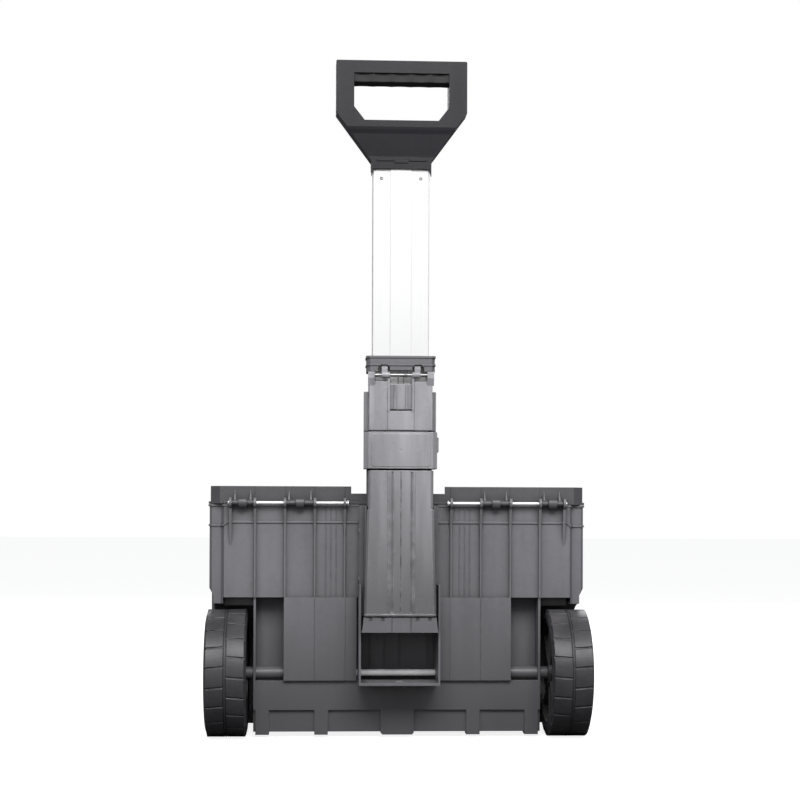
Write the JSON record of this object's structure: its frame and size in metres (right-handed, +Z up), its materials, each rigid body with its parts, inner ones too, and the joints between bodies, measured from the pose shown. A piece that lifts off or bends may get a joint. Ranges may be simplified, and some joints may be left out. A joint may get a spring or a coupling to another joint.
{
  "type": "rolling tool box",
  "caption": "Deep wheeled tool box with a hinged lid, front latches, an axle across the rear and a telescopic flat mast with a D-handle, shown drawn out.",
  "frame": {"origin": "on the floor under the middle of the bounding box, mast drawn out", "axes": "+Z up, -Y towards the side with the wheels and the mast, +X to the right seen from that side"},
  "size_m": [0.595, 0.458, 1.039],
  "materials": {
    "body_plastic": "fine grained satin",
    "lid_plastic": "fine grained satin",
    "column_plastic": "satin",
    "bearing_plastic": "smooth",
    "handle_plastic": "satin",
    "grip_rubber": "matt",
    "seal_rubber": "matt",
    "latch_plastic": "satin",
    "tyre_compound": "satin",
    "rim_plastic": "satin",
    "mast_aluminium": "satin anodised",
    "bright_steel": "zinc plated",
    "screw_steel": "zinc plated"
  },
  "bodies": {
    "box": {"axle_clip_left": "bright_steel", "axle_clip_right": "bright_steel", "axle_sleeve_left": "body_plastic", "axle_sleeve_right": "body_plastic", "axle_support_left": "body_plastic", "axle_support_right": "body_plastic", "box_body": "body_plastic", "column_channel": "body_plastic", "column_foot_cover": "body_plastic", "column_lower_cover": "column_plastic", "column_screws": "screw_steel", "column_sleeve": "column_plastic", "column_upper_housing": "column_plastic", "front_foot_left": "body_plastic", "front_foot_right": "body_plastic", "hinge_rod_left": "bright_steel", "hinge_rod_right": "bright_steel", "latch_pins": "bright_steel", "lever_pivot_rod": "bright_steel", "lever_spring": "screw_steel", "mast_collar": "column_plastic", "mast_guide_bush": "bearing_plastic", "sleeve_clip": "column_plastic", "wheel_axle": "bright_steel", "wheel_spacer_left": "body_plastic", "wheel_spacer_right": "body_plastic"},
    "mast": {"mast_tube": "mast_aluminium", "mast_rivets": "bright_steel", "mast_lock_lugs": "bright_steel", "mast_end_shoe": "bearing_plastic", "handle_rear_shell": "handle_plastic", "handle_front_shell": "handle_plastic", "handle_screws": "screw_steel", "grip_insert": "grip_rubber"},
    "lid": {"lid_shell": "lid_plastic", "lid_seal": "seal_rubber"},
    "lever": {"release_lever": "column_plastic"},
    "wheel_left": {"tyre_left": "tyre_compound", "rim_left": "rim_plastic", "wheel_bush_left": "bearing_plastic", "hub_cap_left": "rim_plastic"},
    "latch_left": {"latch_left": "latch_plastic"},
    "wheel_right": {"tyre_right": "tyre_compound", "rim_right": "rim_plastic", "wheel_bush_right": "bearing_plastic", "hub_cap_right": "rim_plastic"},
    "latch_right": {"latch_right": "latch_plastic"}
  },
  "joints": [
    {"name": "mast_slide", "type": "slide", "parent": "box", "child": "mast", "axis": [0, 0, 1], "range_m": [-0.274, 0]},
    {"name": "lid_hinge", "type": "hinge", "parent": "box", "child": "lid", "pos_m": [0, -0.153, 0.365], "axis": [1, 0, 0], "range_deg": [0, 90]},
    {"name": "release_lever_pivot", "type": "hinge", "parent": "box", "child": "lever", "pos_m": [0, -0.221, 0.559], "axis": [1, 0, 0], "range_deg": [0, 7], "stiffness_Nm_per_rad": 1.2, "springref_deg": -8.59, "deforming": ["lever_spring"]},
    {"name": "wheel_spin_left", "type": "hinge", "parent": "box", "child": "wheel_left", "pos_m": [-0.265, -0.129, 0.1], "axis": [1, 0, 0], "continuous": true},
    {"name": "wheel_spin_right", "type": "hinge", "parent": "box", "child": "wheel_right", "pos_m": [0.265, -0.129, 0.1], "axis": [1, 0, 0], "continuous": true},
    {"name": "latch_pivot_left", "type": "hinge", "parent": "box", "child": "latch_left", "pos_m": [-0.17, 0.2248, 0.322], "axis": [-1, 0, 0], "range_deg": [0, 100]},
    {"name": "latch_pivot_right", "type": "hinge", "parent": "box", "child": "latch_right", "pos_m": [0.17, 0.2248, 0.322], "axis": [-1, 0, 0], "range_deg": [0, 100]}
  ]
}
